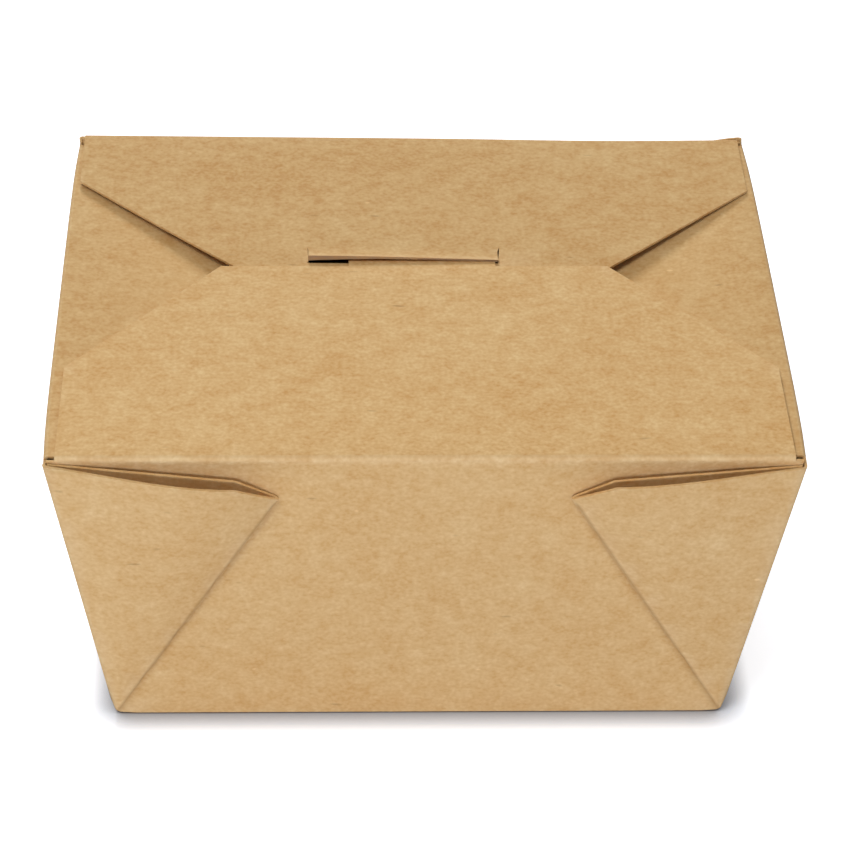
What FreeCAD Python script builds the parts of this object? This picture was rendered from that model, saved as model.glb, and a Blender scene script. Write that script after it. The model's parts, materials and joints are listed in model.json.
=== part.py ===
"""Kraft card takeaway box, folded and glued from one sheet, with a front lid flap that locks by a tongue.

X runs along the front, Y from the front to the back, Z up. The origin is the centre of the base.
All sizes are in millimetres and degrees.
"""
import FreeCAD, Part
import Sketcher
import math
import os

# Driving sizes, each a cell of the sheet
SIZES = {
    # Outside of the standing box
    "base_length": 111.0,
    "base_width": 89.0,
    "top_length": 130.0,
    "top_width": 108.0,
    "box_height": 64.0,
    "board": 0.45,
    "crease_radius": 0.8,
    # Webbed corners, folded flat on the front and back walls
    "web_rise": 1.35,
    "web_gap": 0.15,
    "web_tip_height": 55.2,
    "web_shoulder_height": 58.4,
    "web_shoulder_run": 6.8,
    "web_corner_drop": 0.25,
    "web_pinch": 0.35,
    "web_clearance": 0.2,
    # Side flaps, the lowest layer of the lid
    "side_flap_reach": 40.0,
    "side_flap_straight": 8.0,
    "side_flap_taper": 14.0,
    "side_flap_inset": 1.2,
    "side_flap_drop": 0.8,
    "side_flap_sag_angle": 3.0,
    # Back flap with its slit and lip
    "back_flap_reach": 60.5,
    "back_flap_straight": 17.5,
    "back_flap_inset": 1.4,
    "back_flap_nose": 38.0,
    "back_flap_sag_angle": 0.8,
    "slit_offset": 2.5,
    "slit_length": 35.6,
    "slit_setback": 40.2,
    "slit_opening": 5.6,
    "lip_length": 5.0,
    "lip_clearance": 0.12,
    "lip_rise_angle": 12.0,
    # Front flap with its tongue
    "flap_clearance": 0.05,
    "front_flap_inset": 1.4,
    "front_flap_straight": 26.0,
    "front_flap_reach": 59.2,
    "front_flap_nose": 72.6,
    "tongue_offset": 0.8,
    "tongue_width": 27.0,
    "tongue_tip_width": 20.0,
    "tongue_length": 13.8,
    "tongue_corner": 3.5,
    "tongue_dip_angle": 12.0,
}

# Formulas that several pieces share, written for the sheet's cells
WALL_TOP = "(sizes.box_height - sizes.crease_radius)"
SIDE_TOP = "(sizes.box_height - sizes.side_flap_drop - sizes.crease_radius)"
LENGTH_SLOPE = "((sizes.top_length - sizes.base_length) / 2 / sizes.box_height)"
WIDTH_SLOPE = "((sizes.top_width - sizes.base_width) / 2 / sizes.box_height)"
# The front and back walls lean less than the webs that lie on them, and meet them at the base corners
WALL_SLOPE = "((sizes.top_width / 2 - sizes.web_rise - sizes.base_width / 2) / sizes.box_height)"
SLANT = "sqrt(pow(sizes.box_height; 2) + pow((sizes.top_width - sizes.base_width) / 2; 2))"
# A web is what is left of the corner's right angle after both leans, folded in half
CORNER_LEAN = f"atan((sizes.top_length - sizes.base_length) / 2 / {SLANT})"
SIDE_SLANT = "sqrt(pow(sizes.box_height; 2) + pow((sizes.top_length - sizes.base_length) / 2; 2))"
SIDE_LEAN = f"atan((sizes.top_width - sizes.base_width) / 2 / {SIDE_SLANT})"
WEB_ANGLE = f"((90 deg - {CORNER_LEAN} - {SIDE_LEAN}) / 2 - {CORNER_LEAN})"
# The fold line's run along X for each millimetre of height
FOLD_SLOPE = f"(tan({WEB_ANGLE}) * {SLANT} / sizes.box_height)"


def fill_sheet(doc):
    """Put each driving size in a named cell."""
    sheet = doc.addObject("Spreadsheet::Sheet", "sizes")
    for row, (name, value) in enumerate(SIZES.items(), start=1):
        sheet.set(f"A{row}", name)
        sheet.set(f"B{row}", str(value))
        sheet.setAlias(f"B{row}", name)
    doc.recompute()
    return sheet


def add_body(doc, name, placement=None):
    """A body, placed by an expression where one is given."""
    body = doc.addObject("PartDesign::Body", name)
    if placement:
        body.setExpression("Placement", placement)
    return body


def add_sketch(body, name, role, offset=None):
    """A sketch on one of the body's own origin planes, lifted off it by an expression."""
    plane = next(item for item in body.Origin.OriginFeatures if item.Role == role)
    sketch = body.newObject("Sketcher::SketchObject", name)
    sketch.AttachmentSupport = [(plane, "")]
    sketch.MapMode = "FlatFace"
    if offset:
        sketch.setExpression("AttachmentOffset.Base.z", offset)
    return sketch


def draw_outline(sketch, corners):
    """A closed outline whose corners are pairs of expressions, first to last."""
    count = len(corners)
    first = sketch.GeometryCount
    turn = 2 * math.pi / count
    start_radius = 50.0
    ring = [
        FreeCAD.Vector(start_radius * math.cos(i * turn), start_radius * math.sin(i * turn), 0)
        for i in range(count)
    ]
    for i in range(count):
        sketch.addGeometry(Part.LineSegment(ring[i], ring[(i + 1) % count]))
    for i in range(count):
        after = first + (i + 1) % count
        sketch.addConstraint(Sketcher.Constraint("Coincident", first + i, 2, after, 1))
    for i, (across, up) in enumerate(corners):
        for kind, start, expression in (("DistanceX", ring[i].x, across), ("DistanceY", ring[i].y, up)):
            index = sketch.addConstraint(Sketcher.Constraint(kind, -1, 1, first + i, 1, start))
            sketch.setExpression(f"Constraints[{index}]", expression)


def pad(body, sketch, length, reverse=False, both=False):
    """Pad a sketch by an expression, to one side or evenly to both."""
    feature = body.newObject("PartDesign::Pad", sketch.Name + "_pad")
    feature.Profile = sketch
    feature.setExpression("Length", length)
    feature.Reversed = reverse
    feature.Midplane = both
    return feature


def pocket_through(body, sketch, both=False):
    """Cut a sketch right through the body."""
    feature = body.newObject("PartDesign::Pocket", sketch.Name + "_pocket")
    feature.Profile = sketch
    feature.Type = "ThroughAll"
    feature.Midplane = both
    return feature


def fillet(body, base, radius, wanted):
    """Round the edges of a feature that the test picks out."""
    names = [f"Edge{i}" for i, edge in enumerate(base.Shape.Edges, start=1) if wanted(edge)]
    feature = body.newObject("PartDesign::Fillet", base.Name + "_fillet")
    feature.Base = (base, names)
    feature.setExpression("Radius", radius)
    body.Tip = feature
    return feature


def is_level(edge):
    """True for an edge whose ends are at one height."""
    first, last = edge.Vertexes[0].Point, edge.Vertexes[-1].Point
    return abs(first.z - last.z) < 0.001


def is_on_floor(edge):
    """True for an edge that lies on the floor."""
    return all(abs(vertex.Z) < 0.001 for vertex in edge.Vertexes)


def is_along_front(edge):
    """True for an edge that runs along X."""
    first, last = edge.Vertexes[0].Point, edge.Vertexes[-1].Point
    return abs(first.x - last.x) > abs(first.y - last.y)


def both_ways(corners):
    """The corners of one half and then those of its mirror image across the vertical axis."""
    return corners + [(f"-({across})", up) for across, up in reversed(corners)]


def mirrored(doc, source, name, normal):
    """A mirror image across a plane through the origin."""
    image = doc.addObject("Part::Mirroring", name)
    image.Source = source
    image.Normal = normal
    return image


def web_top_edge():
    """The web's free edge, from its tip over the shoulder to the top corner, in X and Z."""
    tip_across = f"(sizes.base_length / 2 - sizes.web_tip_height * {FOLD_SLOPE})"
    return [
        (tip_across, "sizes.web_tip_height"),
        (f"{tip_across} + sizes.web_shoulder_run", "sizes.web_shoulder_height"),
        ("sizes.top_length / 2 + sizes.crease_radius", "sizes.box_height - sizes.web_corner_drop"),
    ]


def add_wedge(body, kind, name, low, high, thickness):
    """A block with the box's four leans between two heights, that far inside its outer faces."""
    plane = next(item for item in body.Origin.OriginFeatures if item.Role == "XZ_Plane")
    feature = body.newObject(kind, name)
    feature.AttachmentSupport = [(plane, "")]
    feature.MapMode = "FlatFace"
    feature.setExpression("Ymin", low)
    feature.setExpression("Ymax", high)
    for level, mark in ((low, ""), (high, "2")):
        across = (
            f"(sizes.base_length / 2 + {level} * {LENGTH_SLOPE}"
            f" - {thickness} * sqrt(1 + pow({LENGTH_SLOPE}; 2)))"
        )
        deep = (
            f"(sizes.base_width / 2 + {level} * {WIDTH_SLOPE}"
            f" - {thickness} * sqrt(1 + pow({WIDTH_SLOPE}; 2)))"
        )
        feature.setExpression(f"X{mark}min", f"-{across}")
        feature.setExpression(f"X{mark}max", across)
        feature.setExpression(f"Z{mark}min", f"-{deep}")
        feature.setExpression(f"Z{mark}max", deep)
    return feature


def make_outer_shell(doc):
    """Side walls, floor and the outer web halves, one sheet round each upright corner."""
    body = add_body(doc, "outer_shell")
    block = add_wedge(body, "PartDesign::AdditiveWedge", "shell_block", "0", "sizes.box_height", "0")
    doc.recompute()
    fillet(body, block, "sizes.crease_radius", lambda edge: is_on_floor(edge) or not is_level(edge))
    doc.recompute()
    add_wedge(
        body, "PartDesign::SubtractiveWedge", "shell_hollow", "sizes.board",
        "(sizes.box_height + sizes.board)", "sizes.board"
    )
    doc.recompute()

    # The front and back are open between the webs' fold lines and above their free edges
    window = add_sketch(body, "web_outline", "XZ_Plane")
    clear_top = "sizes.box_height + sizes.board"
    draw_outline(window, both_ways([
        (f"sizes.base_length / 2 - sizes.board * {FOLD_SLOPE}", "sizes.board"),
        *web_top_edge(),
        ("sizes.top_length / 2 + sizes.crease_radius", clear_top),
    ]))
    pocket_through(body, window, both=True)
    # Side walls stop at the crease of their flaps, and the upright corners go on to the lid
    rim = add_sketch(body, "side_rim", "XZ_Plane")
    draw_outline(rim, both_ways([
        ("sizes.top_length / 2 + sizes.crease_radius", SIDE_TOP),
        ("sizes.top_length / 2 + sizes.crease_radius", clear_top),
    ]))
    cut = pocket_through(body, rim, both=True)
    cut.Type = "Length"
    cut.setExpression("Length", "sizes.top_width - 2 * sizes.web_rise - 2 * sizes.board")
    return body


def make_wall_strip(doc):
    """Front wall, floor and back wall, one strip folded up at both base creases."""
    body = add_body(doc, "wall_strip")
    profile = add_sketch(body, "strip_profile", "YZ_Plane")
    thick = f"(sizes.board * sqrt(1 + pow({WALL_SLOPE}; 2)))"
    inner_foot = f"(sizes.base_width / 2 + sizes.board * {WALL_SLOPE} - {thick})"
    corners = []
    # The front wall's top edge clears the bend of the front flap
    for sign, top in (("", WALL_TOP), ("-", f"({WALL_TOP} - sizes.flap_clearance)")):
        out_top = f"(sizes.base_width / 2 + {top} * {WALL_SLOPE})"
        side = [
            (f"{sign}(sizes.base_width / 2)", "0"),
            (f"{sign}{out_top}", top),
            (f"{sign}({out_top} - {thick})", top),
            (f"{sign}{inner_foot}", "sizes.board"),
        ]
        corners += side if sign == "" else reversed(side)
    draw_outline(profile, corners)
    strip = pad(body, profile, "sizes.top_length", both=True)
    doc.recompute()
    fillet(body, strip, "sizes.crease_radius", lambda edge: is_on_floor(edge) and is_along_front(edge))
    doc.recompute()
    # Both ends stop short of the side walls, along the corner creases
    for side in ("", "-"):
        ends = add_sketch(body, "strip_end_right" if side == "" else "strip_end_left", "XZ_Plane")
        inside = "sizes.base_length / 2 - sizes.board - sizes.web_clearance"
        draw_outline(ends, [
            (f"{side}({inside})", "sizes.board"),
            (f"{side}({inside} + sizes.box_height * {LENGTH_SLOPE})", "sizes.box_height"),
            (f"{side}(sizes.top_length)", "sizes.box_height"),
            (f"{side}(sizes.top_length)", "-sizes.board"),
            (f"{side}(sizes.base_length / 2 - sizes.crease_radius)", "-sizes.board"),
            (f"{side}(sizes.base_length / 2 - sizes.crease_radius)", "sizes.board"),
        ])
        pocket_through(body, ends, both=True)
    return body


def slab(doc, name, near, far):
    """A leaning slab at the back: its near and far distances outward from the wall, at base and top."""
    body = add_body(doc, name)
    profile = add_sketch(body, name + "_profile", "YZ_Plane")
    low = "sizes.board"
    high = "sizes.box_height"
    corners = []
    for (at_base, at_top), level in ((near, low), (far, low), (far, high), (near, high)):
        share = f"({level} / sizes.box_height)"
        corners.append((
            f"sizes.base_width / 2 + {level} * {WALL_SLOPE}"
            f" + ({at_base}) * (1 - {share}) + ({at_top}) * {share}",
            level,
        ))
    draw_outline(profile, corners)
    pad(body, profile, "sizes.top_length / 2")
    return body


def prism(doc, name, corners):
    """An upright outline in X and Z, padded towards the back."""
    body = add_body(doc, name)
    outline = add_sketch(body, name + "_outline", "XZ_Plane")
    draw_outline(outline, corners)
    pad(body, outline, "sizes.top_width", reverse=True)
    return body


def make_inner_webs(doc):
    """The hidden web halves: back over the wall from the corner crease, then out at the fold line."""
    inner = "sizes.base_length / 2 - sizes.board - sizes.web_clearance"
    tip, shoulder, corner = web_top_edge()
    corner_top = (f"{inner} + ({corner[1]}) * {LENGTH_SLOPE}", corner[1])
    foot = (f"sizes.base_length / 2 - sizes.board * (1 + {FOLD_SLOPE})", "sizes.board")
    half = prism(doc, "web_half", [foot, tip, shoulder, corner_top, (inner, "sizes.board")])
    fold = prism(doc, "web_fold", [
        foot,
        tip,
        (f"{tip[0]} + sizes.board * 1.5", f"{tip[1]} + sizes.board / 2"),
        (f"{foot[0]} + sizes.board", "sizes.board"),
    ])
    hinge = prism(doc, "web_hinge", [
        (f"{inner} - sizes.board", "sizes.board"),
        (f"{corner_top[0]} - sizes.board", corner_top[1]),
        corner_top,
        (inner, "sizes.board"),
    ])
    # The layers are pressed into each other at the base and open up towards the lid
    inner_face = ("-sizes.web_pinch", "sizes.web_gap")
    outer_face = ("-sizes.web_pinch + sizes.board / 2", "sizes.web_gap + sizes.board")
    middle = ("-sizes.board / 2", "sizes.web_rise - sizes.board / 2")
    inside_wall = ("-sizes.web_pinch", "-sizes.board / 2")
    layers = [
        ("inner_half", half, slab(doc, "half_slab", inner_face, outer_face)),
        ("fold_line", fold, slab(doc, "fold_slab", inner_face, middle)),
        ("corner_crease", hinge, slab(doc, "hinge_slab", inside_wall, outer_face)),
    ]
    pieces = []
    for name, outline, sheet_slab in layers:
        piece = doc.addObject("Part::Common", name)
        piece.Base = sheet_slab
        piece.Tool = outline
        pieces.append(piece)
    web = join(doc, "hidden_web", pieces)
    left = mirrored(doc, web, "hidden_web_left", FreeCAD.Vector(1, 0, 0))
    return [
        web,
        left,
        mirrored(doc, web, "hidden_web_front", FreeCAD.Vector(0, 1, 0)),
        mirrored(doc, left, "hidden_web_front_left", FreeCAD.Vector(0, 1, 0)),
    ]


def flap_plate(doc, name, placement, angle, root, corners):
    """A flap in its own frame: crease along X, the flap along +Y, its upper face one radius up."""
    body = add_body(doc, name, placement)
    section = add_sketch(body, name + "_section", "XZ_Plane")
    inner = "sizes.crease_radius - sizes.board"
    draw_outline(section, both_ways([
        (root, inner),
        (root, "sizes.crease_radius"),
    ]))
    bend = body.newObject("PartDesign::Revolution", name + "_bend")
    bend.Profile = section
    bend.ReferenceAxis = (section, ["H_Axis"])
    bend.setExpression("Angle", angle)
    plate = add_sketch(body, name + "_plate", "XY_Plane", inner)
    draw_outline(plate, corners)
    pad(body, plate, "sizes.board")
    return body


def make_side_flaps(doc):
    """The two side flaps, which sag a little below the rest."""
    centre = f"sizes.base_length / 2 + {SIDE_TOP} * {LENGTH_SLOPE} - sizes.crease_radius"
    place = (
        f"placement(vector({centre}; 0; {SIDE_TOP});"
        " rotationz(90) * rotationx(-sizes.side_flap_sag_angle))"
    )
    root = "sizes.top_width / 2 - sizes.web_rise - sizes.board - sizes.side_flap_inset"
    body = flap_plate(doc, "side_flap_right", place, "90 + sizes.side_flap_sag_angle", root, both_ways([
        (root, "0"),
        (root, "sizes.side_flap_straight"),
        (f"{root} - sizes.side_flap_taper", "sizes.side_flap_reach"),
    ]))
    return [body, mirrored(doc, body, "side_flap_left", FreeCAD.Vector(1, 0, 0))]


def wall_crease(sign):
    """Y of the crease centre over the front or back wall."""
    return f"{sign}(sizes.base_width / 2 + {WALL_TOP} * {WALL_SLOPE} - sizes.crease_radius)"


def make_back_flap(doc):
    """The back flap with the slit that takes the tongue, and the lip that the slit frees."""
    frame = (
        f"placement(vector(0; {wall_crease('')}; {WALL_TOP});"
        " rotationz(180) * rotationx(-sizes.back_flap_sag_angle))"
    )
    root = "sizes.top_length / 2 - sizes.back_flap_inset"
    body = flap_plate(doc, "back_flap", frame, "90 + sizes.back_flap_sag_angle", root, both_ways([
        (root, "0"),
        (root, "sizes.back_flap_straight"),
        ("sizes.back_flap_nose / 2", "sizes.back_flap_reach"),
    ]))
    slit = add_sketch(body, "slit", "XY_Plane", "sizes.crease_radius + sizes.board")
    left = "sizes.slit_offset - sizes.slit_length / 2"
    right = "sizes.slit_offset + sizes.slit_length / 2"
    near = "sizes.slit_setback - sizes.crease_radius"
    far = f"{near} + sizes.slit_opening"
    draw_outline(slit, [(left, near), (right, near), (right, far), (left, far)])
    pocket_through(body, slit)

    lip_place = (
        f"{frame} * placement(vector(0; {near}; sizes.crease_radius - sizes.board);"
        " rotationx(sizes.lip_rise_angle))"
    )
    lip = add_body(doc, "lip", lip_place)
    tab = add_sketch(lip, "lip_outline", "XY_Plane")
    draw_outline(tab, [
        (f"{left} + sizes.lip_clearance", "-sizes.board / 2"),
        (f"{right} - sizes.lip_clearance", "-sizes.board / 2"),
        (f"{right} - sizes.lip_clearance", "sizes.lip_length"),
        (f"{left} + sizes.lip_clearance", "sizes.lip_length"),
    ])
    pad(lip, tab, "sizes.board")
    return join(doc, "back_panel", [body, lip])


def make_front_flap(doc):
    """The front flap, bent at its crease, and the tongue that dips through the slit."""
    frame = f"placement(vector(0; {wall_crease('-')}; {WALL_TOP}); rotationx(0))"
    root = "sizes.top_length / 2 - sizes.front_flap_inset"
    free_edge = "sizes.front_flap_reach - sizes.crease_radius"
    body = flap_plate(doc, "front_panel", frame, "90", root, both_ways([
        (root, "0"),
        (root, "sizes.front_flap_straight"),
        ("sizes.front_flap_nose / 2", free_edge),
    ]))
    place = (
        f"{frame} * placement(vector(sizes.tongue_offset; {free_edge}; sizes.crease_radius - sizes.board);"
        f" rotationx(-sizes.tongue_dip_angle))"
    )
    tongue = add_body(doc, "tongue", place)
    outline = add_sketch(tongue, "tongue_outline", "XY_Plane")
    draw_outline(outline, both_ways([
        ("sizes.tongue_width / 2", "-sizes.board / 4"),
        ("sizes.tongue_width / 2", "sizes.tongue_length - sizes.tongue_corner"),
        ("sizes.tongue_tip_width / 2", "sizes.tongue_length"),
    ]))
    pad(tongue, outline, "sizes.board")
    return [body, tongue]


def join(doc, label, pieces):
    """One folded sheet from its panels, joined one after another."""
    whole = pieces[0]
    for number, piece in enumerate(pieces[1:], start=1):
        joined = doc.addObject("Part::Fuse", f"{label}_{number}")
        joined.Base = whole
        joined.Tool = piece
        joined.Refine = False
        whole = joined
    whole.Label = label
    return whole


def check(doc, parts):
    """Stop if any object failed or a finished part isn't one valid solid."""
    for item in doc.Objects:
        if "Invalid" in item.State or "Error" in item.State:
            raise RuntimeError(f"{item.Name} failed: {item.State}")
    for part in parts:
        if part.Shape.isNull() or not part.Shape.isValid():
            raise RuntimeError(f"{part.Label} has no valid shape")
        if len(part.Shape.Solids) != 1:
            raise RuntimeError(f"{part.Label} is {len(part.Shape.Solids)} solids")


def main():
    """Build the box and write one file for each part."""
    doc = FreeCAD.newDocument("takeaway_box")
    fill_sheet(doc)
    shell = make_outer_shell(doc)
    strip = make_wall_strip(doc)
    webs = make_inner_webs(doc)
    carton = join(doc, "carton", [shell, strip, *webs, *make_side_flaps(doc), make_back_flap(doc)])
    front = join(doc, "front_flap", make_front_flap(doc))
    doc.recompute()
    check(doc, [carton, front])
    os.makedirs("parts", exist_ok=True)
    for part in (carton, front):
        part.Shape.exportStep(os.path.join("parts", part.Label + ".step"))
    print("written", [part.Label for part in (carton, front)])


main()
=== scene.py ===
"""Kraft card takeaway box: the folded sheet, its card finish and a plain white studio."""

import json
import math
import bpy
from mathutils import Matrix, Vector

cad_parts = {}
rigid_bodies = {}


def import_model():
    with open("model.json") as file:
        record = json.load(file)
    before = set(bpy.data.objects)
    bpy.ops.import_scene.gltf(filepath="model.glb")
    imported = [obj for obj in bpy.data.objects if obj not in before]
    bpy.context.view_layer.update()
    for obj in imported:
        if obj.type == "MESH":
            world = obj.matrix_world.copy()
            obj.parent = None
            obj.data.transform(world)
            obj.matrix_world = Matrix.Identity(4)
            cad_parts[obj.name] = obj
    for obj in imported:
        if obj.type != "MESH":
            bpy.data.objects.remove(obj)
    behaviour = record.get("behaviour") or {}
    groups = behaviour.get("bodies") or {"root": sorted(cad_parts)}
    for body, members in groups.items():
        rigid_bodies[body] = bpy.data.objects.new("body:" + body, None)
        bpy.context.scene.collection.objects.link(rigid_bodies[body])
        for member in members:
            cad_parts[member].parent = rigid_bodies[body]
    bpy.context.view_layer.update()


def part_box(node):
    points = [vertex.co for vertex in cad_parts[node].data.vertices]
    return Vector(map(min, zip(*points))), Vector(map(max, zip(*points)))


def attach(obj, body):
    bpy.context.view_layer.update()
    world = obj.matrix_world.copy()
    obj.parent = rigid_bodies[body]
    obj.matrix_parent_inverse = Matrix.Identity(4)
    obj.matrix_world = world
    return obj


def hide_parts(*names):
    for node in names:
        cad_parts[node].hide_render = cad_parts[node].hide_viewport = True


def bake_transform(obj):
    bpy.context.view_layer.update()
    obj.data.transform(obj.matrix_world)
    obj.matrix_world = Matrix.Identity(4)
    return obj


bl_info = {
    "name": "Takeaway box",
    "version": (1, 0, 0),
    "blender": (4, 5, 0),
    "location": "3D View > Sidebar > Takeaway box",
    "description": "A folded kraft card takeaway box with webbed corners and a lid that locks by a tongue",
    "category": "Object",
}

import bmesh
import bpy
from mathutils import Matrix, Vector

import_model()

# One millimetre in the scene's metres
MM = 0.001

# The level that the box stands on, read off the frame
BASE_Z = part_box("carton")[0].z

# How far the top stands out past the base at each side, and the height over which it does, in millimetres
WALL_OUT = 9.5
WALL_RISE = 64

# Half the extent of the nets of cuts, past the lid's ends
NET = 66

# A normal's part along an axis, from which a face counts as looking that way
FACING = 0.97

# Degrees that the side flaps hang below level, their reach, and half their length at the crease
SIDE_SAG = 4.6
SIDE_REACH = 40
SIDE_HALF = 51.0

# How far the side flaps' creases lie below the front flap's
LAYER_DROP = 0.8

# The lip in the back flap: its ends along X, the slit's front edge, the lip's root and one row of its length
LIP_X = (-20.3, 15.3)
SLIT_Y = 8.6
LIP_ROOT = 13.9
LIP_ROW = 1.29

# The tongue's root on the front flap: its ends along X, and how far the flap reaches there
TONGUE_X = (-12.7, 14.3)
TONGUE_ROOT = 6.65

# Two places on each slanting side of the lid's flaps, by way (front -1, back 1) and side (right 1, left -1)
FLAP_CUTS = {
    (-1, 1): ((64.1, -27.6), (35.8, 5.6)),
    (-1, -1): ((-63.5, -26.6), (-36.2, 6.6)),
    (1, 1): ((64.0, 33.9), (34.3, 6.2)),
    (1, -1): ((-63.3, 35.6), (-34.0, 7.8)),
}


def point(x, y, z):
    """A place given in millimetres."""
    return Vector((x, y, z)) * MM


# User sizes and colours


class BoxSizes(bpy.types.PropertyGroup):
    """Sizes of the folded sheet."""

    base_length: bpy.props.FloatProperty(
        name="Base length", description="Outside length of the base", default=0.111, unit="LENGTH")
    base_width: bpy.props.FloatProperty(
        name="Base width", description="Outside width of the base", default=0.089, unit="LENGTH")
    top_length: bpy.props.FloatProperty(
        name="Top length", description="Outside length at the lid", default=0.130, unit="LENGTH")
    top_width: bpy.props.FloatProperty(
        name="Top width", description="Outside width at the lid, over the webs", default=0.108,
        unit="LENGTH")
    height: bpy.props.FloatProperty(
        name="Height", description="Height to the lid's upper face", default=0.064, unit="LENGTH")
    board: bpy.props.FloatProperty(
        name="Board", description="Thickness of the card", default=0.00045, unit="LENGTH")
    crease_radius: bpy.props.FloatProperty(
        name="Crease radius", description="Outside radius of a folded crease", default=0.0008, unit="LENGTH")
    web_rise: bpy.props.FloatProperty(
        name="Web rise", description="How far the webs stand off the wall at the top", default=0.00135,
        unit="LENGTH")
    web_bulge: bpy.props.FloatProperty(
        name="Web bulge", description="How far a web's outer half springs away", default=0.0027,
        unit="LENGTH")
    lip_curl: bpy.props.FloatProperty(
        name="Lip curl", description="How high the lip of the slit stands", default=0.0014, unit="LENGTH")


class CardFinish(bpy.types.PropertyGroup):
    """Colours of the card."""

    face: bpy.props.FloatVectorProperty(
        name="Face", description="Palest colour of the kraft face", subtype="COLOR", size=3,
        min=0.0, max=1.0, default=(0.800, 0.575, 0.282))
    fibre: bpy.props.FloatVectorProperty(
        name="Fibre", description="Darker fibres and clouds in the face", subtype="COLOR", size=3,
        min=0.0, max=1.0, default=(0.555, 0.272, 0.066))
    # The cut edge's grey core is darkened as painted shade, for the shadowed band under the lip
    edge: bpy.props.FloatVectorProperty(
        name="Cut edge", description="Paler grey core that shows along a cut edge", subtype="COLOR", size=3,
        min=0.0, max=1.0, default=(0.270, 0.220, 0.168))
    # The inside's darker brown is partly painted shade: it shows in the pockets between a web's halves
    inside: bpy.props.FloatVectorProperty(
        name="Inside", description="Inner face of the card", subtype="COLOR", size=3,
        min=0.0, max=1.0, default=(0.470, 0.325, 0.140))


# Picking and shaping, as by hand


def begin(name):
    """Take the new primitive into edit mode under its own name."""
    piece = bpy.context.object
    piece.name = name
    piece.data.name = name
    bpy.ops.object.mode_set(mode="EDIT")
    return piece


def clear_selection():
    """Deselect every object, the frame's nodes too."""
    if bpy.context.object and bpy.context.object.mode != "OBJECT":
        bpy.ops.object.mode_set(mode="OBJECT")
    bpy.ops.object.select_all(action="DESELECT")


def pick(kind, test):
    """Select the vertices, edges or faces that pass a test.

    The test gets the middle in millimetres, and the normal, or the edge itself where edges are picked.
    """
    bpy.ops.mesh.select_mode(type=kind)
    bpy.ops.mesh.select_all(action="DESELECT")
    mesh = bmesh.from_edit_mesh(bpy.context.object.data)
    if kind == "VERT":
        found = [(item, item.co, item.normal) for item in mesh.verts]
    elif kind == "EDGE":
        found = [(item, (item.verts[0].co + item.verts[1].co) / 2, item) for item in mesh.edges]
    else:
        found = [(item, item.calc_center_median(), item.normal) for item in mesh.faces]
    picked = [item for item, middle, extra in found if test(middle / MM, extra)]
    if not picked:
        raise RuntimeError(f"nothing picked on {bpy.context.object.name}")
    for item in picked:
        item.select_set(True)
    bmesh.update_edit_mesh(bpy.context.object.data)


def is_open(edge):
    """True for an edge of the sheet's outline."""
    return len(edge.link_faces) == 1


def slice_at(place, normal, trim=False):
    """Cut what is selected by a plane, and drop what lies beyond it if asked."""
    bpy.ops.mesh.bisect(
        plane_co=point(*place), plane_no=Vector(normal).normalized(), clear_outer=trim, threshold=1e-7)


def dice(test, xs=(), ys=(), zs=()):
    """Cut the picked faces across by planes along each axis, so that they can bend."""
    for axis, values in ((0, xs), (1, ys), (2, zs)):
        for value in values:
            place = [0.0, 0.0, 0.0]
            normal = [0.0, 0.0, 0.0]
            place[axis] = value
            normal[axis] = 1.0
            pick("FACE", test)
            slice_at(place, normal)


def steps(start, end, count):
    """Evenly spaced values between two ends, without the ends."""
    return [start + (end - start) * i / count for i in range(1, count)]


def share_of(value, start, end):
    """0 at the start and 1 at the end, and held beyond them."""
    return min(1.0, max(0.0, (value - start) / (end - start)))


def move_by(step):
    """Move each vertex by what a function gives for its place, both in millimetres, or leave it at None."""
    mesh = bmesh.from_edit_mesh(bpy.context.object.data)
    for vertex in mesh.verts:
        move = step(vertex.co / MM)
        if move is not None:
            vertex.co += Vector(move) * MM
    bmesh.update_edit_mesh(bpy.context.object.data)


def nudge(middle, radius, move, test=lambda at: True):
    """Push the sheet near a place by a smooth falloff, as with proportional editing."""

    def step(at):
        reach = (at - Vector(middle)).length / radius
        if reach >= 1 or not test(at):
            return None
        return Vector(move) * (1 - reach * reach) ** 2

    move_by(step)


def face_outwards(test, direction):
    """Turn the whole sheet one way round, so that the face that passes the test looks that way."""
    bpy.ops.mesh.select_all(action="SELECT")
    bpy.ops.mesh.remove_doubles(threshold=1e-6)
    bpy.ops.mesh.normals_make_consistent(inside=False)
    mesh = bmesh.from_edit_mesh(bpy.context.object.data)
    sample = next(face for face in mesh.faces if test(face.calc_center_median() / MM))
    if sample.normal.dot(Vector(direction)) < 0:
        bpy.ops.mesh.flip_normals()


def thicken(piece, thickness):
    """Give the sheet its board, inward from the face, with its cut edges in the second material."""
    bpy.ops.object.mode_set(mode="OBJECT")
    solid = piece.modifiers.new("board", "SOLIDIFY")
    solid.thickness = thickness
    solid.offset = -1.0
    solid.use_even_offset = True
    solid.material_offset = 1
    solid.material_offset_rim = 2
    bpy.ops.object.modifier_apply(modifier=solid.name)


def write_attribute(piece, name, kind, field, values):
    """Note a number or a place at each vertex."""
    made = piece.data.attributes.new(name, kind, "POINT")
    made.data.foreach_set(field, values)


def crease_bends(piece):
    """How sharply the sheet bends at each vertex, for the painted highlight along creases, partly the paler
    stretched fibres of a real crease.
    """
    flat_angle, full_angle, cut_angle = 12, 14, 60
    mesh = bmesh.new()
    mesh.from_mesh(piece.data)
    bends = [0.0] * len(mesh.verts)
    for edge in mesh.edges:
        if len(edge.link_faces) == 2:
            angle = math.degrees(edge.calc_face_angle(0.0))
            if flat_angle < angle < cut_angle:
                for vertex in edge.verts:
                    bends[vertex.index] = max(bends[vertex.index], min(1.0, angle / full_angle))
    mesh.free()
    return bends


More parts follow.
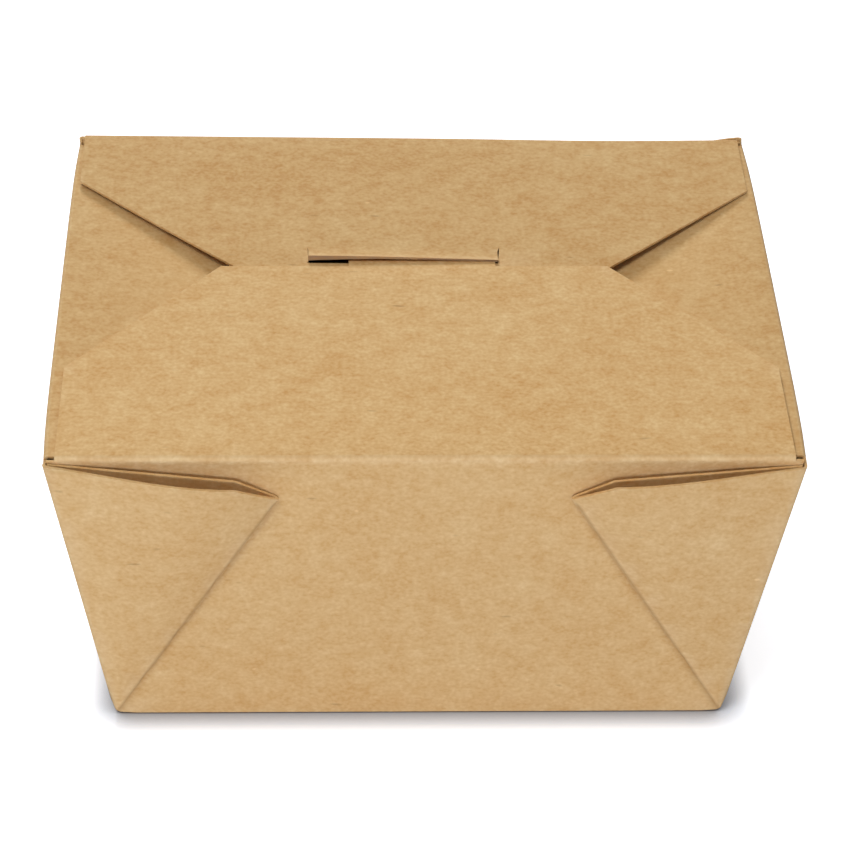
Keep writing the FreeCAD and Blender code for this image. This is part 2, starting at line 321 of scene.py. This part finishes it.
def finish_piece(piece, body=None):
    """Shading, the attributes for the card's pattern, painted highlight and painted shade, and the body that
    carries the piece.
    """
    bpy.ops.object.mode_set(mode="OBJECT")
    bpy.ops.object.transform_apply(location=True, rotation=True, scale=True)
    bpy.ops.object.shade_smooth_by_angle(angle=math.radians(32))
    vertices = piece.data.vertices
    places = [0.0] * (3 * len(vertices))
    vertices.foreach_get("co", places)
    write_attribute(piece, "crease_bend_highlight", "FLOAT", "value", crease_bends(piece))
    write_attribute(piece, "rest", "FLOAT_VECTOR", "vector", places)
    # The lid's lower layers are on the pieces that ride the carton; they get painted shade, as if lit less
    write_attribute(piece, "under_layer_shade", "FLOAT", "value", [1.0 if body else 0.0] * len(vertices))
    if body:
        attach(piece, body)


def give_card(piece):
    """Face, inside and cut edge, in the order that the thickened sheet uses them; the inside and the cut
    edge are darker partly as painted shade.
    """
    finish = bpy.context.scene.card_finish
    piece.data.materials.clear()
    piece.data.materials.append(card_material("card_face", finish.face, finish.fibre, 1.0))
    piece.data.materials.append(card_material("card_inside_and_shade", finish.inside, finish.fibre, 1.0))
    piece.data.materials.append(card_material("card_edge_and_shade", finish.edge, finish.fibre, 0.5))


# Materials


class Socket:
    """One output of a node, with arithmetic that adds the nodes it needs."""

    def __init__(self, recipe, output):
        self.recipe = recipe
        self.output = output

    def join(self, operation, *values):
        return self.recipe.node("ShaderNodeMath", {"operation": operation}, dict(enumerate(values)))

    def __add__(self, other):
        return self.join("ADD", self, other)

    __radd__ = __add__

    def __mul__(self, other):
        return self.join("MULTIPLY", self, other)

    __rmul__ = __mul__

    def __sub__(self, other):
        return self.join("SUBTRACT", self, other)

    def __rsub__(self, other):
        return self.join("SUBTRACT", other, self)

    def absolute(self):
        return self.join("ABSOLUTE", self)

    def within(self, low, high):
        """0 at the first value and 1 at the second one, clamped."""
        return self.recipe.node(
            "ShaderNodeMapRange", sockets={"Value": self, "From Min": low, "From Max": high})

    def axes(self):
        """X, Y and Z of a place."""
        apart = self.recipe.node("ShaderNodeSeparateXYZ", sockets={"Vector": self})
        return [Socket(self.recipe, output) for output in apart.output.node.outputs]


def find_socket(sockets, key):
    """A socket by its place, or the enabled one of that name."""
    if isinstance(key, int):
        return sockets[key]
    return next(item for item in sockets if item.name == key and item.enabled)


class Recipe:
    """A node tree, and the one method that adds any node to it."""

    def __init__(self, tree):
        self.tree = tree
        self.tree.nodes.clear()

    def node(self, kind, settings=None, sockets=None, output=0):
        """Add a node, set its settings first, then its sockets, and give one of its outputs."""
        made = self.tree.nodes.new(kind)
        for key, value in (settings or {}).items():
            setattr(made, key, value)
        for key, value in (sockets or {}).items():
            socket = find_socket(made.inputs, key)
            if isinstance(value, Socket):
                self.tree.links.new(value.output, socket)
            elif socket.type == "RGBA":
                socket.default_value = (*value, 1.0)
            else:
                socket.default_value = value
        if made.outputs:
            return Socket(self, find_socket(made.outputs, output))
        return None

    def attribute(self, name, output="Fac"):
        return self.node("ShaderNodeAttribute", {"attribute_name": name}, output=output)

    def noise(self, where, stretch, scale, detail, roughness=0.5):
        """Noise on a place that is stretched along each axis."""
        place = self.node("ShaderNodeVectorMath", {"operation": "MULTIPLY"}, {0: where, 1: stretch})
        return self.node("ShaderNodeTexNoise", sockets={
            "Vector": place, "Scale": scale, "Detail": detail, "Roughness": roughness})

    def mix(self, factor, first, second, blend="MIX"):
        """A colour mix, whose colour sockets are found by place."""
        return self.node(
            "ShaderNodeMix", {"data_type": "RGBA", "blend_type": blend},
            {0: factor, 6: first, 7: second}, output=2)


def new_material(name):
    """An empty material and its recipe."""
    material = bpy.data.materials.new(name)
    material.use_nodes = True
    return material, Recipe(material.node_tree)


def scaled(colour, factor):
    return tuple(min(1.0, channel * factor) for channel in colour)


# Noise that shades the card between fibre and face: stretch along each axis, scale, detail and weight
SHADES = {
    "fine": ((0.75, 0.8, 0.9), 1700.0, 1.0, 0.80),
    "clump": ((0.62, 0.75, 0.85), 620.0, 2.0, 0.66),
    "patch": ((0.8, 0.8, 0.9), 210.0, 2.0, 0.42),
    "cloud": ((0.8, 0.9, 0.9), 60.0, 1.0, 0.26),
}

# Heights, in metres, between which the walls' softer pattern becomes the lid's stronger one. The lid's extra
# contrast is partly painted shade: it stands in for the relief that low light from behind shows on the lid
LID_LEVELS = (0.0615, 0.0632)
WALL_CONTRAST = 0.76
LID_MOTTLE_AND_RELIEF_SHADE = 0.22

# Colours on the card: stains, the painted highlight on creases (partly their paler stretched fibres), the
# painted shade on the lid's lower layers and the painted shadow beside a fold
STAIN = (0.600, 0.330, 0.105)
CREASE_HIGHLIGHT_AND_FIBRES = (0.93, 0.74, 0.46)
UNDER_LAYER_SHADE = (0.91, 0.895, 0.865)
FOLD_SHADOW = (0.33, 0.155, 0.035)


def fold_shadow(across, depth, level):
    """Painted shadow beside each web's fold, on the wall that the fold lies on."""
    size = bpy.context.scene.box_sizes
    past = across.absolute() + level * fold_slope(size) - size.base_length / 2
    near = past.within(-0.0022, -0.0002)
    line = near * near * (1.0 - past.within(-0.0002, 0.0004))
    on_wall = depth.absolute().within(0.0425, 0.0435)
    below_tip = 1.0 - level.within(0.0535, 0.0550)
    return line * on_wall * below_tip


def card_material(name, face, fibre, strength):
    """Uncoated kraft card: cloudy face, fibres along the length, dark and pale specks, with a painted
    highlight on creases and painted shade on lower layers and beside folds.
    """
    made = bpy.data.materials.get(name)
    if made:
        return made
    material, recipe = new_material(name)
    where = recipe.attribute("rest", "Vector")
    across, depth, level = where.axes()
    lid = level.within(*LID_LEVELS)
    layers = {}
    for key, (stretch, scale, detail, weight) in SHADES.items():
        layers[key] = recipe.noise(where, stretch, scale, detail)
    shade = sum((layers[key] - 0.5) * SHADES[key][-1] for key in SHADES)
    # The lid's stronger contrast is partly painted relief shade
    shade = shade * ((lid * LID_MOTTLE_AND_RELIEF_SHADE + WALL_CONTRAST) * strength) + 0.5
    colour = recipe.mix(shade.within(0.0, 1.0), fibre, face)

    # Stains, dark hairs and pale crumbs: noise, the values where it starts and is full, weight and colour
    for noise, limits, weight, tint in (
        (((0.8, 1.0, 1.0), 330.0, 2.0, 0.6), (0.56, 0.74), 0.36, STAIN),
        (((0.3, 1.0, 1.0), 560.0, 1.0), (0.76, 0.84), 0.5, scaled(fibre, 0.55)),
        (((0.6, 1.0, 1.0), 640.0, 0.0), (0.13, 0.08), 0.5, scaled(face, 1.15)),
    ):
        mark = recipe.noise(where, *noise).within(*limits)
        colour = recipe.mix(mark * (weight * strength), colour, tint)
    # Painted highlight along the creases and folds, partly the paler stretched fibres of a real crease
    colour = recipe.mix(recipe.attribute("crease_bend_highlight") * (0.13 * strength), colour, CREASE_HIGHLIGHT_AND_FIBRES)
    # Painted shade: the lid's lower layers, the side flaps and the back flap, are darker as if lit less
    colour = recipe.mix(recipe.attribute("under_layer_shade") * lid, colour, UNDER_LAYER_SHADE, "MULTIPLY")
    # Painted shadow along each web's fold
    colour = recipe.mix(fold_shadow(across, depth, level) * (0.50 * strength), colour, FOLD_SHADOW)

    relief = layers["fine"] * 0.5 + layers["clump"] * 0.6 + layers["patch"] * 0.5
    normal = recipe.node("ShaderNodeBump", sockets={
        "Strength": 0.04, "Distance": 0.0001, "Height": relief})
    shader = recipe.node("ShaderNodeBsdfPrincipled", sockets={
        "Base Color": colour, "Roughness": layers["clump"] * 0.12 + 0.80, "Normal": normal,
        "Specular IOR Level": 0.28})
    recipe.node("ShaderNodeOutputMaterial", sockets={"Surface": shader})
    return material


# The folded sheet


class TAKEAWAY_OT_side_sheet(bpy.types.Operator):
    """Side walls, side flaps and the webs that turn round the upright corners"""

    bl_idname = "takeaway.side_sheet"
    bl_label = "Side walls, flaps and webs"

    def execute(self, context):
        size = context.scene.box_sizes
        half_length = size.base_length / 2 / MM
        height = size.height / MM
        radius = size.crease_radius / MM
        board = size.board / MM
        lean = (size.top_length - size.base_length) / 2 / size.height
        flap_level = height - LAYER_DROP - radius

        # The tapered block, rounded along its upright and base edges
        clear_selection()
        bpy.ops.mesh.primitive_cube_add(size=1.0)
        piece = begin("side_walls_and_webs")
        bpy.ops.transform.translate(value=(0.0, 0.0, 0.5))
        bpy.ops.transform.resize(
            value=(size.base_length, size.base_width, size.height), center_override=(0.0, 0.0, 0.0))
        pick("VERT", lambda at, n: at.z > height / 2)
        bpy.ops.transform.resize(
            value=(size.top_length / size.base_length, size.top_width / size.base_width, 1.0),
            center_override=(0.0, 0.0, size.height))
        pick("EDGE", lambda at, e: at.z < height - 1)
        bpy.ops.mesh.bevel(offset=size.crease_radius, segments=4, profile=0.5, affect="EDGES")
        pick("FACE", lambda at, n: at.z > height - 0.5)
        bpy.ops.mesh.delete(type="FACE")

        # Cuts along the fold lines, the webs' free edges and the side walls' top creases
        fold = fold_slope(size)
        foot = half_length - board * fold
        for side in (1, -1):
            bpy.ops.mesh.select_all(action="SELECT")
            slice_at((side * half_length, 0, 0), (-side, 0.0, -fold))
            tip, shoulder, corner = web_edge(size, side)
            for first, second in ((tip, shoulder), (shoulder, corner)):
                run = second[0] - first[0]
                rise = second[1] - first[1]
                bpy.ops.mesh.select_all(action="SELECT")
                slice_at((side * first[0], 0, first[1]), (side * -rise, 0.0, run))
        pick("FACE", lambda at, n: abs(n.x) > FACING)
        slice_at((0, 0, flap_level), (0.0, 0.0, 1.0))

        def in_window(at, normal):
            across = abs(at.x)
            if at.z < 0.05 and abs(normal.z) > 0.9:
                return True
            if abs(normal.y) < 0.5:
                return abs(normal.x) < 0.5 and at.z < radius and across < foot - 0.6
            if across < half_length - at.z * fold:
                return True
            return at.z > edge_height(across, *web_edge(size, 1 if at.x > 0 else -1))

        pick("FACE", in_window)
        bpy.ops.mesh.delete(type="FACE")
        pick("FACE", lambda at, n: at.z > flap_level and abs(n.x) > 0.75)
        bpy.ops.mesh.delete(type="FACE")

        # A fine net, so that the walls and webs can bulge
        def flat(at, normal):
            return abs(normal.x) > FACING or abs(normal.y) > FACING

        dice(flat, xs=steps(-NET, NET, 34), ys=[-SIDE_HALF, SIDE_HALF] + steps(-50, 50, 16),
             zs=steps(0, WALL_RISE, 16))

        # Creases and flaps at both ends
        for side in (1, -1):
            centre_x = side * (half_length + flap_level * lean - radius)
            pick("EDGE", lambda at, e: is_open(e) and side * at.x > 60
                 and abs(at.z - flap_level) < 0.01 and abs(at.y) < SIDE_HALF + 0.01)
            bpy.ops.mesh.spin(
                steps=6, angle=math.radians((90 + SIDE_SAG) * side), center=point(centre_x, 0, flap_level),
                axis=(0.0, 1.0, 0.0))
            sag = math.radians(SIDE_SAG)
            reach = point(-side * SIDE_REACH * math.cos(sag), 0, -SIDE_REACH * math.sin(sag))
            bpy.ops.mesh.extrude_edges_move(TRANSFORM_OT_translate={"value": reach})

            def on_flap(at, normal):
                return normal.z > 0.9 and side * at.x > 0

            for way in (1, -1):
                pick("FACE", on_flap)
                corner = (centre_x - side * 8, way * SIDE_HALF, 0)
                slice_at(corner, (-side * 14.0, way * 32.0, 0.0), trim=True)
            dice(on_flap, xs=steps(centre_x, centre_x - side * SIDE_REACH, 8))

        # The webs' hidden halves: back over the wall from the fold line
        for way in (-1, 1):
            for side in (1, -1):
                make_hidden_half(size, side, way)
        bulge_webs(size)
        bulge_sides()
        face_outwards(lambda at: at.x > 58 and at.z < 40 and abs(at.y) < 30, (1, 0, 0))
        thicken(piece, size.board)
        give_card(piece)
        finish_piece(piece, "carton")
        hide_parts("carton")
        return {"FINISHED"}


def tilt_lip():
    """Lower the lip's right end, which lies close on the tongue."""
    left, right = LIP_X
    hair = 0.05

    def step(at):
        on_lip = SLIT_Y + 0.04 < at.y < LIP_ROOT - 0.1 and left - hair < at.x < right + hair
        if not on_lip or at.z < 60:
            return None
        along = max(0.0, at.x - left) / (right - left)
        out = min(1.0, (LIP_ROOT - at.y) / (4 * LIP_ROW))
        up = (0.1 - 0.75 * along ** 1.5) * out ** 1.6
        # The free edge is turned down a little where it stands high
        if at.y < SLIT_Y + 0.12:
            up -= (1 - along) ** 2
        # The slit's two short legs stand a hair open
        aside = 0.0
        if at.x < left + hair:
            aside = 0.16
        elif at.x > right - hair:
            aside = -0.40
        return aside, -0.35 * along * out, up

    move_by(step)


def draw_in_wall_top():
    """Draw the front wall in a little under the lid's crease, beside the webs."""

    def step(at):
        if at.y > -45 or at.z < 54 or at.z > 62.9:
            return None
        beside = share_of(abs(at.x), 20, 28) * share_of(abs(at.x), 63, 55)
        up = math.sin(math.pi * (at.z - 54) / 9.2) ** 0.8
        return 0, 0.75 * beside * up, 0

    move_by(step)


def tip_back_crease():
    """Lift the left end of the back crease, as on a lid that is not quite square."""

    def step(at):
        if at.y < 20 or at.z < 45:
            return None
        left = share_of(at.x, 25, -63)
        near = share_of(at.y, 20, 50) * share_of(at.z, 45, 62)
        right = math.exp(-((at.x - 40) / 20) ** 2)
        return 0, 0, (0.75 * left - 0.3 * right) * near

    move_by(step)


def fold_slope(size):
    """Run along X of a web's fold line for each millimetre of height."""
    drop = (size.top_width - size.base_width) / 2
    slant = math.hypot(size.height, drop)
    lean = math.atan((size.top_length - size.base_length) / 2 / slant)
    angle = (math.pi / 2 - 2 * lean) / 2 - lean
    return math.tan(angle) * slant / size.height


def web_edge(size, side):
    """Tip, shoulder and corner of a web's free edge, in X and Z. The right webs are a little lower."""
    tip_z = 55.2
    tip_x = size.base_length / 2 / MM - tip_z * fold_slope(size)
    corner_z = 62.5 if side > 0 else 63.15
    return (tip_x, tip_z), (tip_x + 6.8, tip_z + 3.6), (size.top_length / 2 / MM + 0.8, corner_z)


def edge_height(across, tip, shoulder, corner):
    """Height of a web's free edge at a distance from the middle."""
    for first, second in ((tip, shoulder), (shoulder, corner)):
        if across <= second[0]:
            share = (across - first[0]) / (second[0] - first[0])
            return first[1] + (second[1] - first[1]) * share
    return corner[1]


def make_hidden_half(size, side, way):
    """Copy a web's outer half against the wall, turned over, and join both at the fold line."""
    fold = fold_slope(size)
    half_length = size.base_length / 2 / MM
    board = size.board / MM
    near_base = board + 0.03
    near_lid = 2 * board + 0.3

    def on_web(at, normal):
        return side * at.x > 0 and normal.y * way > FACING

    pick("FACE", on_web)
    bpy.ops.mesh.duplicate_move(TRANSFORM_OT_translate={"value": (0.0, 0.0, 0.0)})
    bpy.ops.mesh.flip_normals()
    mesh = bmesh.from_edit_mesh(bpy.context.object.data)
    for vertex in mesh.verts:
        if vertex.select:
            share = max(0.0, vertex.co.z / size.height)
            vertex.co.y -= way * (near_base + (near_lid - near_base) * share) * MM
    bmesh.update_edit_mesh(bpy.context.object.data)

    def on_fold(at, edge):
        if side * at.x < 0 or not is_open(edge) or at.y * way < 40:
            return False
        return abs(side * at.x - (half_length - at.z * fold)) < 0.05

    pick("EDGE", on_fold)
    bpy.ops.mesh.bridge_edge_loops(number_cuts=2, smoothness=1.0, interpolation="SURFACE")


def bulge_webs(size):
    """Spring the outer halves away from the wall between the fold line and the corner."""
    half_length = size.base_length / 2 / MM
    half_width = size.base_width / 2 / MM
    fold = fold_slope(size)
    # By side and way: the left front web springs most
    springs = {(-1, -1): 1.0, (1, -1): 0.72, (-1, 1): 0.45, (1, 1): 0.45}

    def step(at):
        way = 1 if at.y > 0 else -1
        side = 1 if at.x > 0 else -1
        lean = at.z * WALL_OUT / WALL_RISE
        if abs(abs(at.y) - half_width - lean) > 0.02 or at.z < 2:
            return None
        start = half_length - at.z * fold
        share = (abs(at.x) - start) / (half_length + lean - start)
        if not 0 < share < 1:
            return None
        lift = math.sin(math.pi * share ** 0.75) ** 1.3 * (at.z / 60) ** 1.3
        return 0, way * size.web_bulge / MM * springs[side, way] * lift, 0

    move_by(step)


def round_base_corners():
    """Blunt the four corners that the box stands on."""
    for side in (1, -1):
        for way in (1, -1):
            nudge((side * 55.5, way * 44.5, 0), 2.4, (-side * 0.3, -way * 0.12, 0.2))


def bulge_sides():
    """Press the side walls' tops out a little between the corners, and lift the webs' back corners."""

    def step(at):
        if at.z <= 20:
            return None
        side = 1 if at.x > 0 else -1
        across = share_of(abs(at.x), 50, 62)
        along = max(0.0, 1 - (abs(at.y) / 51.5) ** 6)
        return side * 0.5 * across * along * ((at.z - 20) / 44) ** 2, 0, 0

    move_by(step)
    round_base_corners()
    for middle, radius, lift in (((63.5, 53.8, 63.0), 14.0, 1.2), ((-64.0, 53.8, 63.0), 10.0, 0.5)):
        nudge(middle, radius, (0.0, 0.0, lift), lambda at: at.y > 53.0 and at.z > 58)


class TAKEAWAY_OT_long_sheet(bpy.types.Operator):
    """Front flap, front wall, base, back wall and back flap, one sheet over four creases"""

    bl_idname = "takeaway.long_sheet"
    bl_label = "Lid flaps, front, back and base"

    def execute(self, context):
        size = context.scene.box_sizes
        half_length = size.base_length / 2 / MM
        half_width = size.base_width / 2 / MM
        height = size.height / MM
        radius = size.crease_radius / MM
        level = height - radius
        slope = (size.top_width / 2 - size.web_rise - size.base_width / 2) / size.height
        out = level * slope
        crease_y = half_width + out - radius
        base_half = half_length - radius
        top_half = half_length - 0.65 + level * WALL_OUT / WALL_RISE
        # The lid's creases end here, and the front one a little sooner
        root = half_length + WALL_OUT - 1.4
        front_root = root - 0.8

        # Base, then both walls folded up
        clear_selection()
        bpy.ops.mesh.primitive_plane_add(size=1.0)
        piece = begin("front_flap_wall_and_base")
        bpy.ops.transform.resize(
            value=(2 * base_half * MM, size.base_width, 1.0), center_override=(0.0, 0.0, 0.0))
        bpy.ops.mesh.flip_normals()
        for way in (-1, 1):
            pick("EDGE", lambda at, e: way * at.y > half_width - 0.1)
            bpy.ops.mesh.extrude_edges_move(TRANSFORM_OT_translate={"value": point(0, way * out, level)})
            bpy.ops.transform.resize(
                value=(top_half / base_half, 1.0, 1.0), center_override=(0.0, 0.0, 0.0))
        pick("EDGE", lambda at, e: at.z < 0.01 and abs(at.x) < 1)
        bpy.ops.mesh.bevel(offset=size.crease_radius, segments=4, profile=0.5, affect="EDGES")

        def on_wall(at, normal):
            return abs(normal.y) > 0.9

        dice(on_wall, xs=[-root, -front_root, front_root, root] + steps(-NET, NET, 22),
             zs=steps(0, WALL_RISE, 10) + [59.3, 60.9, 62.3])

        for way in (-1, 1):
            reach_x = front_root if way < 0 else root
            pick("EDGE", lambda at, e: is_open(e) and abs(at.z - level) < 0.01
                 and way * at.y > 0 and abs(at.x) < reach_x)
            # The back flap falls a little towards its free edge, below the front flap
            length, fall = (58.4, 0.0) if way < 0 else (60.5, 0.8)
            bpy.ops.mesh.spin(
                steps=6, angle=-way * math.radians(90 + fall), center=point(0, way * crease_y, level),
                axis=(1.0, 0.0, 0.0))
            slant = math.radians(fall)
            reach = point(0, -way * length * math.cos(slant), -length * math.sin(slant))
            bpy.ops.mesh.extrude_edges_move(TRANSFORM_OT_translate={"value": reach})

            def on_flap(at, normal):
                mine = at.z > 63.99 if way < 0 else at.z < 63.985 and at.y > -15
                return abs(normal.z) > 0.9 and at.z > 60 and mine

            for side in (1, -1):
                pick("FACE", on_flap)
                first, second = (Vector((*spot, 0)) for spot in FLAP_CUTS[way, side])
                along = second - first
                normal = Vector((along.y, -along.x, 0))
                if normal.x * side < 0:
                    normal = -normal
                slice_at(first, normal, trim=True)
            if way < 0:
                dice(on_flap, xs=[*TONGUE_X] + steps(-NET, NET, 22), ys=steps(-51.7, 6.6, 10))
            else:
                dice(on_flap, xs=[*LIP_X] + steps(-NET, NET, 22),
                     ys=[LIP_ROOT, SLIT_Y] + steps(-8.7, 51.7, 10))

        # The slit, and the lip that it frees
        pick("FACE", lambda at, n: 60 < at.z < 63.9 and LIP_X[0] < at.x < LIP_X[1]
             and SLIT_Y < at.y < LIP_ROOT)
        bpy.ops.mesh.delete(type="FACE")
        pick("EDGE", lambda at, e: is_open(e) and abs(at.y - LIP_ROOT) < 0.02
             and LIP_X[0] < at.x < LIP_X[1])
        curl = size.lip_curl / MM
        for out_y, up in (
            (-LIP_ROW, 0.05 * curl), (-LIP_ROW, 0.13 * curl), (-LIP_ROW, 0.27 * curl),
            (-LIP_ROW, 0.55 * curl), (-0.06, -0.05),
        ):
            bpy.ops.mesh.extrude_edges_move(TRANSFORM_OT_translate={"value": point(0, out_y, up)})
        # The lip stands higher at its left end, and the tongue presses the card in front of it down
        tilt_lip()
        nudge((1.0, 5.5, 63.3), 20.0, (0.0, 0.0, -0.32), lambda at: at.z < 63.6 and at.y < SLIT_Y + 0.1)

        # The tongue, which dips under the lip
        pick("EDGE", lambda at, e: is_open(e) and at.z > 63.95 and abs(at.y - TONGUE_ROOT) < 0.05
             and TONGUE_X[0] < at.x < TONGUE_X[1])
        for out_y, down in ((1.9, -0.28), (2.2, -0.5), (4.4, -1.1), (5.3, -1.3)):
            bpy.ops.mesh.extrude_edges_move(TRANSFORM_OT_translate={"value": point(0, out_y, down)})
        bpy.ops.transform.resize(value=(20 / 27, 1.0, 1.0), center_override=point(0.8, 0, 0))

        tip_back_crease()
        draw_in_wall_top()
        dice(lambda at, n: at.z < 0.9, xs=[-51.5, 51.5], ys=[-40.5, 40.5])
        face_outwards(lambda at: at.z < 0.01, (0, 0, -1))

        # The sheet is parted at the back base crease, because only its front part follows the lid
        pick("EDGE", lambda at, e: at.z < 0.01 and half_width - 1.2 < at.y < half_width - 0.4)
        bpy.ops.mesh.edge_split(type="EDGE")
        round_base_corners()
        pick("FACE", lambda at, n: at.y > half_width and at.z > 5)
        bpy.ops.mesh.select_linked()
        bpy.ops.mesh.separate(type="SELECTED")
        bpy.ops.object.mode_set(mode="OBJECT")
        back = next(part for part in context.selected_objects if part != piece)
        back.name = "back_wall_and_flap"
        back.data.name = back.name
        for part, body in ((back, "carton"), (piece, None)):
            clear_selection()
            part.select_set(True)
            context.view_layer.objects.active = part
            thicken(part, size.board)
            give_card(part)
            if part == back:
                # The lip's turned-down edge shows the cut card, whose dark colour is partly painted shade of
                # the band under the lip
                for face in part.data.polygons:
                    at = face.center / MM
                    if 8.0 < at.y < 8.9 and -20.4 < at.x < 15.2 and face.normal.y < -0.6:
                        face.material_index = 2
            finish_piece(part, body)
        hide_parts("carton")
        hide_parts("front_flap", "carton")
        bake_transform(piece)
        return {"FINISHED"}


# The fitted camera: its place in metres, two of its axes, and its focal length in the photo's pixels
CAMERA_PLACE = (-0.017721, -0.49295, 0.389433)
CAMERA_RIGHT = (0.999491, -0.026516, 0.017732)
CAMERA_AHEAD = (0.031877, 0.809746, -0.585914)
FOCAL_PIXELS = 3240.73
PHOTO_PIXELS = 850
SENSOR = 36.0


class TAKEAWAY_OT_stage(bpy.types.Operator):
    """White floor, soft light and the camera"""

    bl_idname = "takeaway.stage"
    bl_label = "Floor, light and camera"

    def execute(self, context):
        clear_selection()
        bpy.ops.mesh.primitive_plane_add(size=6.0, location=(0.0, 0.0, BASE_Z - 0.00002))
        floor = context.object
        floor.name = "floor"
        white, recipe = new_material("floor_white_and_contact_shadow")
        # Painted contact shadow: for camera rays the floor's colour and glow darken where ambient occlusion
        # within 6 mm finds the box
        seen = recipe.node("ShaderNodeLightPath", output="Is Camera Ray")
        near = recipe.node(
            "ShaderNodeAmbientOcclusion", {"samples": 16}, {"Distance": 0.0060}, output="AO")
        ground = recipe.mix(seen * (1.0 - near), (0.82, 0.86, 0.93), (0.08, 0.08, 0.09))
        plain = recipe.node("ShaderNodeBsdfDiffuse", sockets={"Color": ground})
        glow = recipe.node("ShaderNodeEmission", sockets={
            "Color": (1.0, 1.0, 1.0), "Strength": seen * near * near * near * 0.68})
        both = recipe.node("ShaderNodeAddShader", sockets={0: plain, 1: glow})
        recipe.node("ShaderNodeOutputMaterial", sockets={"Surface": both})
        floor.data.materials.append(white)

        # Soft light that is stronger from above. What the camera sees is white.
        world = bpy.data.worlds.new("studio")
        context.scene.world = world
        world.use_nodes = True
        recipe = Recipe(world.node_tree)
        path = recipe.node("ShaderNodeLightPath", output="Is Camera Ray")
        height = recipe.node("ShaderNodeTexCoord", output="Generated").axes()[2].within(0.0, 1.0)
        strength = (height * 0.37 + 0.06) * (1.0 - path) + path * 1.05
        light = recipe.node("ShaderNodeBackground", sockets={
            "Color": (0.98, 0.99, 1.03), "Strength": strength})
        recipe.node("ShaderNodeOutputWorld", sockets={"Surface": light})

        for name, place, power, spread, colour in (
            ("window_light", (-0.18, 1.575, 0.75), 21.5, 0.60, (1.0, 1.0, 1.0)),
            ("high_light", (-0.18, -0.40, 0.72), 2.2, 0.3, (1.0, 1.0, 1.0)),
            ("front_light", (-0.05, -0.95, 0.13), 3.1, 0.3, (0.96, 1.04, 1.30)),
        ):
            bpy.ops.object.light_add(type="AREA", location=place)
            lamp = context.object
            lamp.name = name
            lamp.data.shape = "DISK"
            lamp.data.size = spread
            lamp.data.energy = power
            lamp.data.color = colour
            aim = Vector((0, 0, 0.04)) - Vector(place)
            lamp.rotation_euler = aim.to_track_quat("-Z", "Y").to_euler()

        bpy.ops.object.camera_add(location=CAMERA_PLACE)
        camera = context.object
        camera.name = "photo_camera"
        ahead = Vector(CAMERA_AHEAD).normalized()
        up = Vector(CAMERA_RIGHT).normalized().cross(ahead).normalized()
        right = ahead.cross(up).normalized()
        camera.rotation_euler = Matrix((right, up, -ahead)).transposed().to_euler()
        camera.data.sensor_width = SENSOR
        camera.data.lens = FOCAL_PIXELS / PHOTO_PIXELS * SENSOR
        camera.data.clip_start = 0.01
        camera.data.clip_end = 20.0
        context.scene.camera = camera
        context.scene.view_settings.view_transform = "Standard"
        return {"FINISHED"}


class TAKEAWAY_PT_panel(bpy.types.Panel):
    """Sizes, colours and the steps that make the box"""

    bl_idname = "TAKEAWAY_PT_panel"
    bl_label = "Takeaway box"
    bl_space_type = "VIEW_3D"
    bl_region_type = "UI"
    bl_category = "Takeaway box"

    def draw(self, context):
        layout = self.layout
        for group in (context.scene.box_sizes, context.scene.card_finish):
            for name in group.bl_rna.properties.keys():
                if name not in ("rna_type", "name"):
                    layout.prop(group, name)
        for operator in OPERATORS:
            layout.operator(operator.bl_idname)


OPERATORS = (TAKEAWAY_OT_side_sheet, TAKEAWAY_OT_long_sheet, TAKEAWAY_OT_stage)
CLASSES = (BoxSizes, CardFinish, *OPERATORS, TAKEAWAY_PT_panel)


def register():
    for cls in CLASSES:
        bpy.utils.register_class(cls)
    bpy.types.Scene.box_sizes = bpy.props.PointerProperty(type=BoxSizes)
    bpy.types.Scene.card_finish = bpy.props.PointerProperty(type=CardFinish)


def unregister():
    del bpy.types.Scene.card_finish
    del bpy.types.Scene.box_sizes
    for cls in reversed(CLASSES):
        bpy.utils.unregister_class(cls)


def main():
    """Register the add-on, then make every piece and the stage."""
    register()
    bpy.ops.takeaway.side_sheet()
    bpy.ops.takeaway.long_sheet()
    bpy.ops.takeaway.stage()


if __name__ == "__main__":
    main()
